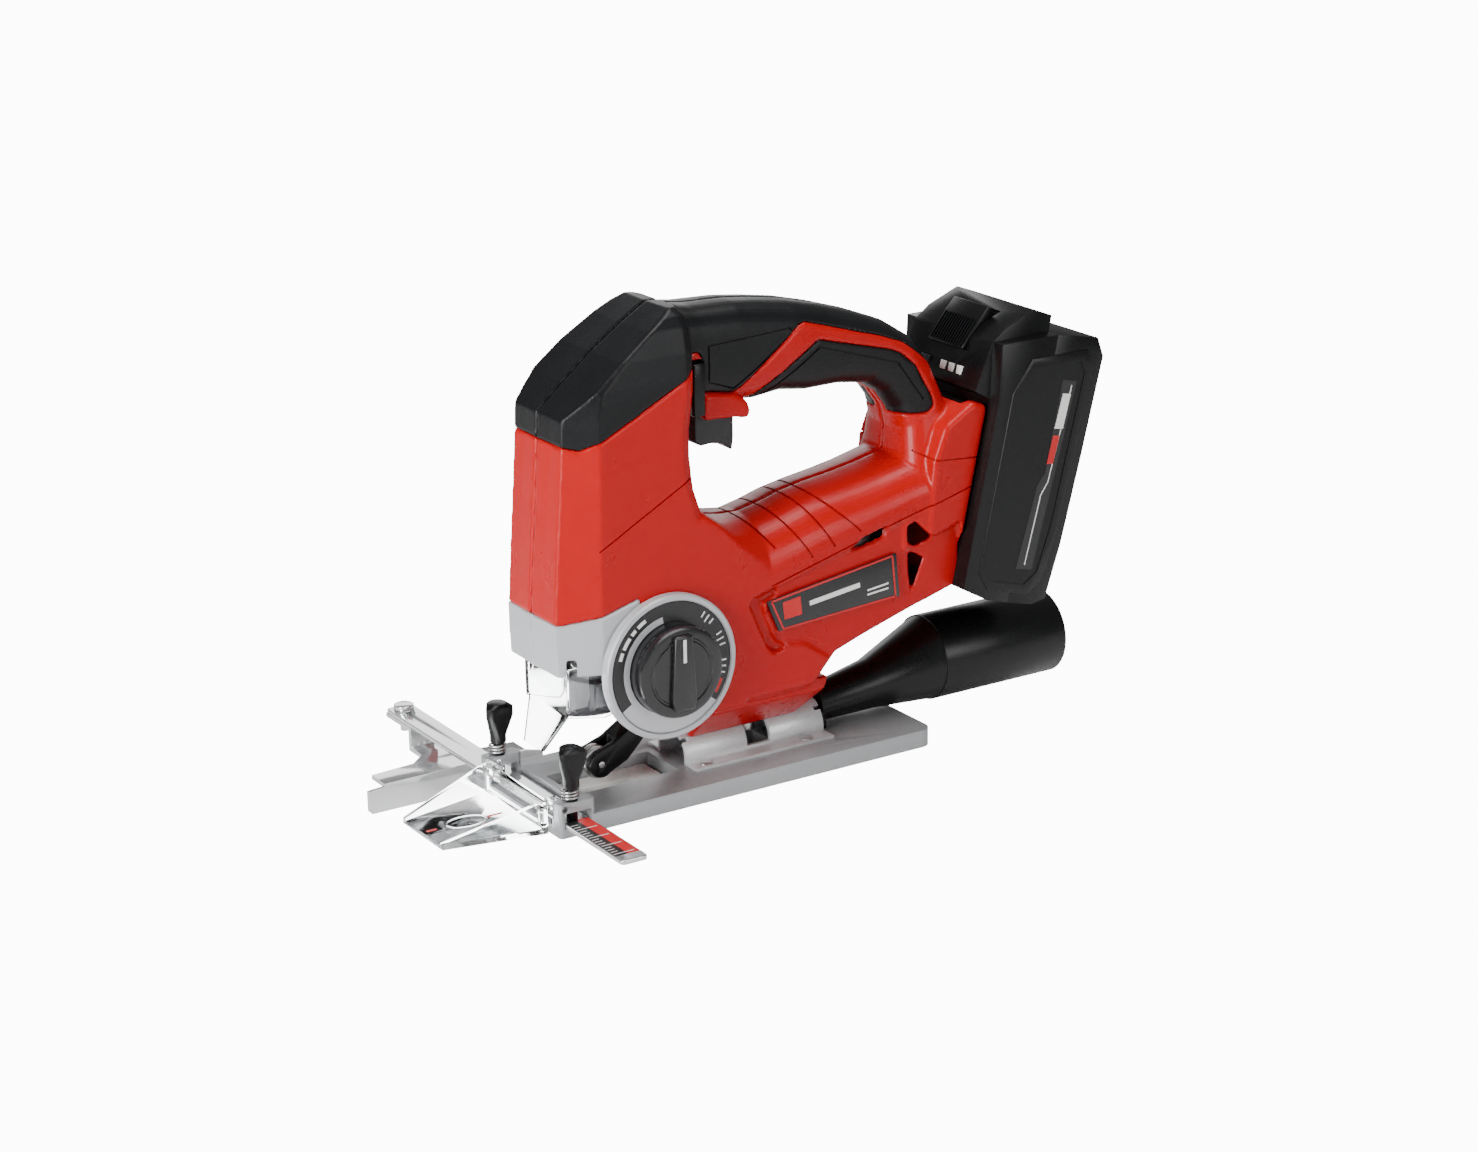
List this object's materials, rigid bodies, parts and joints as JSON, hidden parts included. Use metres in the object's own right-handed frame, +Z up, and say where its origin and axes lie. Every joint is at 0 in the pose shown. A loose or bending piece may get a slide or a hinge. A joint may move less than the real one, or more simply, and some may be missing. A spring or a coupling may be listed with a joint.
{
  "type": "jigsaw",
  "caption": "Battery jigsaw with tilting shoe, orbital selector, quick blade clamp, sliding edge guide, sight guide, dust adapter and slide-on battery.",
  "frame": {"origin": "on the sole plane, on the blade line, in the tool's middle plane", "axes": "+Z up from the sole, -X ahead along the cut, -Y the side with the orbital selector"},
  "size_m": [0.3264, 0.211, 0.2304],
  "materials": {
    "shell": "satin moulded",
    "soft_grip": "fine matt texture",
    "dark_plastic": "satin moulded",
    "grey_plastic": "satin moulded",
    "label": "printed film",
    "silver_cover": "fine metallic paint",
    "cast_shoe": "cast and machined",
    "cast_light": "cast",
    "plated_steel": "zinc plated",
    "chrome_steel": "bright",
    "clear_plastic": "clear moulded",
    "white_plastic": "moulded",
    "bronze": "sintered",
    "copper_winding": "wound",
    "cell_wrap": "film wrap",
    "circuit_board": "coated"
  },
  "bodies": {
    "shoe": {"base_plate": "cast_shoe", "bevel_saddle": "cast_light", "saddle_screws": "plated_steel", "splinter_insert": "white_plastic", "knob_springs": "plated_steel", "sight_guide_pins": "plated_steel"},
    "guide": {"guide_bar": "chrome_steel", "guide_fence": "chrome_steel", "guide_pivot_pin": "chrome_steel"},
    "knob_left": {"clamp_knob_left": "dark_plastic"},
    "knob_right": {"clamp_knob_right": "dark_plastic"},
    "sight": {"sight_guide": "clear_plastic"},
    "dust_tube": {"dust_tube": "dark_plastic"},
    "tool": {"shell_left": "shell", "shell_right": "shell", "hood_grip": "soft_grip", "handle_pads": "soft_grip", "gear_cover": "silver_cover", "mode_dial_plate": "label", "name_plates": "label", "shell_screws": "plated_steel", "bevel_screw": "plated_steel", "bevel_clamp_plate": "plated_steel", "motor_can": "plated_steel", "motor_end_cap": "dark_plastic", "gear_axle": "plated_steel", "gearbox_frame": "cast_light", "plunger_bushes": "bronze", "fork_pin": "plated_steel", "trigger_switch": "dark_plastic", "trigger_spring": "plated_steel", "control_board": "circuit_board", "terminal_block": "dark_plastic", "led_lamp": "white_plastic", "led_lens": "clear_plastic"},
    "selector": {"selector_knob": "dark_plastic"},
    "rotor": {"motor_rotor": "copper_winding", "motor_pinion": "plated_steel", "motor_fan": "white_plastic"},
    "crank": {"crank_gear": "plated_steel", "crank_pin": "plated_steel"},
    "plunger": {"plunger_rod": "plated_steel", "plunger_yoke": "plated_steel", "blade_clamp": "plated_steel"},
    "collar": {"clamp_collar": "grey_plastic"},
    "fork": {"roller_fork": "dark_plastic", "roller_pin": "plated_steel"},
    "roller": {"guide_roller": "plated_steel"},
    "guard": {"blade_guard": "clear_plastic"},
    "trigger": {"trigger": "grey_plastic"},
    "lock_button": {"lock_off_button": "dark_plastic"},
    "battery": {"battery_rear_case": "dark_plastic", "battery_front_case": "dark_plastic", "battery_cells": "cell_wrap", "battery_board": "circuit_board", "charge_lights": "white_plastic", "battery_screws": "plated_steel", "latch_spring": "plated_steel"},
    "latch": {"battery_latch": "dark_plastic"},
    "charge_button": {"charge_button": "grey_plastic"}
  },
  "joints": [
    {"name": "body_tilt", "type": "hinge", "parent": "shoe", "child": "tool", "pos_m": [0, 0, 0.0105], "axis": [1, 0, 0], "range_deg": [-45, 45]},
    {"name": "guide_slide", "type": "slide", "parent": "shoe", "child": "guide", "axis": [0, 1, 0], "range_m": [-0.036, 0.044]},
    {"name": "knob_left_turn", "type": "hinge", "parent": "shoe", "child": "knob_left", "pos_m": [-0.029, -0.0315, 0.03], "axis": [0, 0, 1], "range_deg": [0, 360]},
    {"name": "knob_right_turn", "type": "hinge", "parent": "shoe", "child": "knob_right", "pos_m": [-0.029, 0.0315, 0.03], "axis": [0, 0, 1], "range_deg": [0, 360]},
    {"name": "sight_guide_hinge", "type": "hinge", "parent": "shoe", "child": "sight", "pos_m": [-0.034, 0, 0.0126], "axis": [0, 1, 0], "range_deg": [0, 80]},
    {"name": "dust_tube_slide", "type": "slide", "parent": "shoe", "child": "dust_tube", "axis": [1, 0, 0], "range_m": [0, 0.06]},
    {"name": "selector_turn", "type": "hinge", "parent": "tool", "child": "selector", "pos_m": [0.0202, -0.035, 0.0634], "axis": [0, 1, 0], "range_deg": [0, 110]},
    {"name": "rotor_spin", "type": "hinge", "parent": "tool", "child": "rotor", "pos_m": [0.1, 0, 0.087], "axis": [1, 0, 0], "continuous": true},
    {"name": "crank_spin", "type": "hinge", "parent": "tool", "child": "crank", "pos_m": [0.0235, 0, 0.111], "axis": [1, 0, 0], "continuous": true},
    {"name": "plunger_slide", "type": "slide", "parent": "tool", "child": "plunger", "axis": [0, 0, 1], "range_m": [-0.01, 0.01]},
    {"name": "collar_twist", "type": "hinge", "parent": "plunger", "child": "collar", "pos_m": [0, 0, 0.05], "axis": [0, 0, 1], "range_deg": [0, 40], "stiffness_Nm_per_rad": 0.08, "springref_deg": -17.19},
    {"name": "fork_swing", "type": "hinge", "parent": "tool", "child": "fork", "pos_m": [0.024, 0, 0.062], "axis": [0, 1, 0], "range_deg": [0, 3]},
    {"name": "roller_spin", "type": "hinge", "parent": "fork", "child": "roller", "pos_m": [0.0006, 0, 0.0154], "axis": [0, 1, 0], "continuous": true},
    {"name": "guard_slide", "type": "slide", "parent": "tool", "child": "guard", "axis": [0, 0, 1], "range_m": [0, 0.002]},
    {"name": "trigger_squeeze", "type": "slide", "parent": "tool", "child": "trigger", "axis": [0, 0, 1], "range_m": [0, 0.005], "stiffness_N_per_m": 700, "springref_m": -0.004, "deforming": ["trigger_spring"]},
    {"name": "lock_off_push", "type": "slide", "parent": "tool", "child": "lock_button", "axis": [0, 1, 0], "range_m": [-0.003, 0.003]},
    {"name": "battery_slide", "type": "slide", "parent": "tool", "child": "battery", "axis": [0.2164, 0, 0.9763], "range_m": [0, 0.085]},
    {"name": "latch_press", "type": "slide", "parent": "battery", "child": "latch", "axis": [0.9763, 0, -0.2164], "range_m": [0, 0.003], "stiffness_N_per_m": 900, "springref_m": -0.002, "deforming": ["latch_spring"]},
    {"name": "charge_button_press", "type": "slide", "parent": "battery", "child": "charge_button", "axis": [0.9763, 0, -0.2164], "range_m": [0, 0.001], "stiffness_N_per_m": 500, "springref_m": -0.001}
  ],
  "couplings": [
    {"joint": "rotor_spin", "follows": "crank_spin", "ratio": -5}
  ]
}
